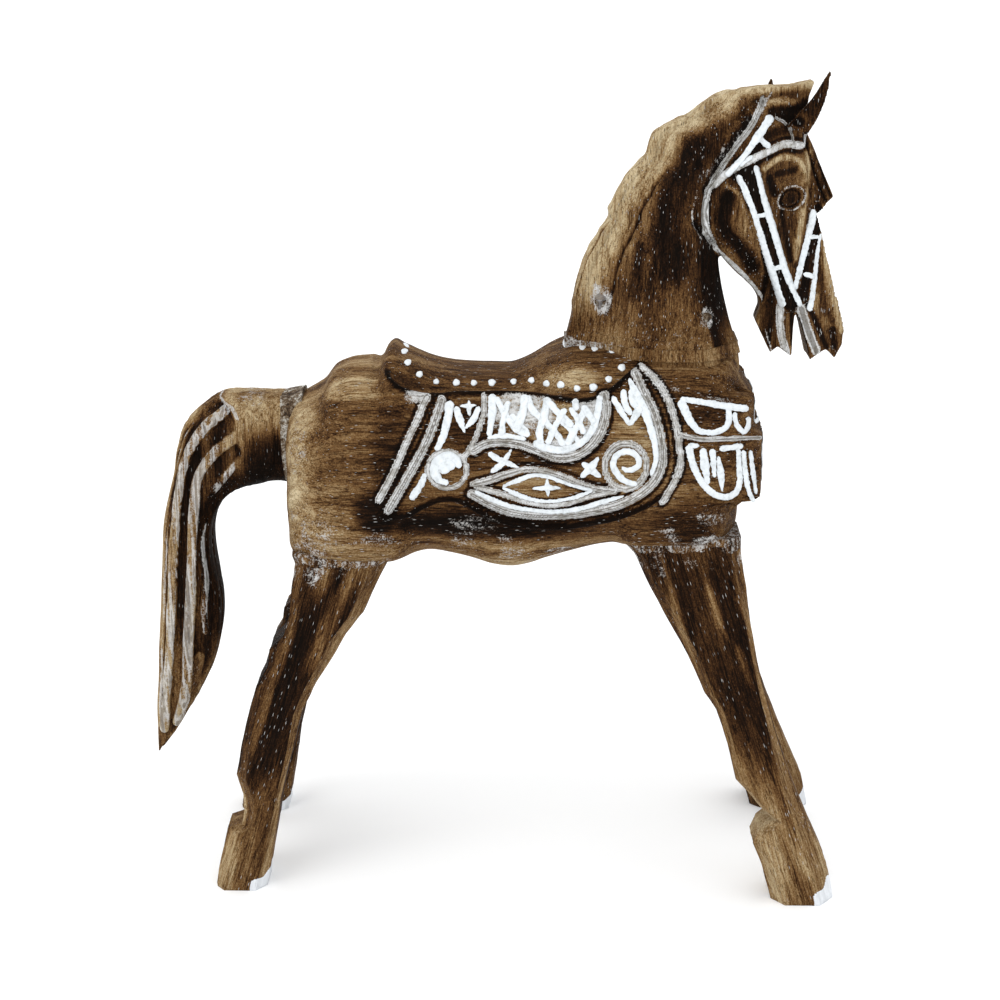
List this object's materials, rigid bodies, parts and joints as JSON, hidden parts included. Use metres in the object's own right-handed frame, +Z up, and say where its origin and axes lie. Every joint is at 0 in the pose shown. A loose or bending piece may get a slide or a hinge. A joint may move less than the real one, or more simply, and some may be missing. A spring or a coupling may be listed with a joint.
{
  "type": "carved wooden horse figurine",
  "caption": "Standing carved wooden horse with an arched neck, lowered head, carved saddle, splayed legs and a hanging tail, for a shelf or table.",
  "frame": {"origin": "on the floor, under the middle of the overall box", "axes": "+X towards the muzzle, +Y towards the horse's left side, +Z up"},
  "size_m": [0.3448, 0.141, 0.4],
  "materials": {
    "carved_wood": "burnt and brushed light hardwood with painted white strokes, low sheen",
    "dowel_wood": "turned hardwood dowel, unfinished",
    "putty": "sawdust and glue filler, rough and speckled",
    "nail_steel": "plain drawn wire"
  },
  "bodies": {
    "root": {"hind_leg_right": "carved_wood", "hind_leg_right_putty": "putty", "hind_leg_right_dowels": "dowel_wood", "hind_leg_left": "carved_wood", "hind_leg_left_putty": "putty", "hind_leg_left_dowels": "dowel_wood", "fore_leg_right": "carved_wood", "fore_leg_right_putty": "putty", "fore_leg_right_dowels": "dowel_wood", "fore_leg_left": "carved_wood", "fore_leg_left_putty": "putty", "fore_leg_left_dowels": "dowel_wood", "torso": "carved_wood", "neck_and_head": "carved_wood", "neck_putty": "putty", "neck_dowels": "dowel_wood", "neck_nails": "nail_steel", "nail_plugs": "putty", "tail": "carved_wood", "tail_collar": "putty", "tail_dowel": "dowel_wood"}
  },
  "joints": []
}
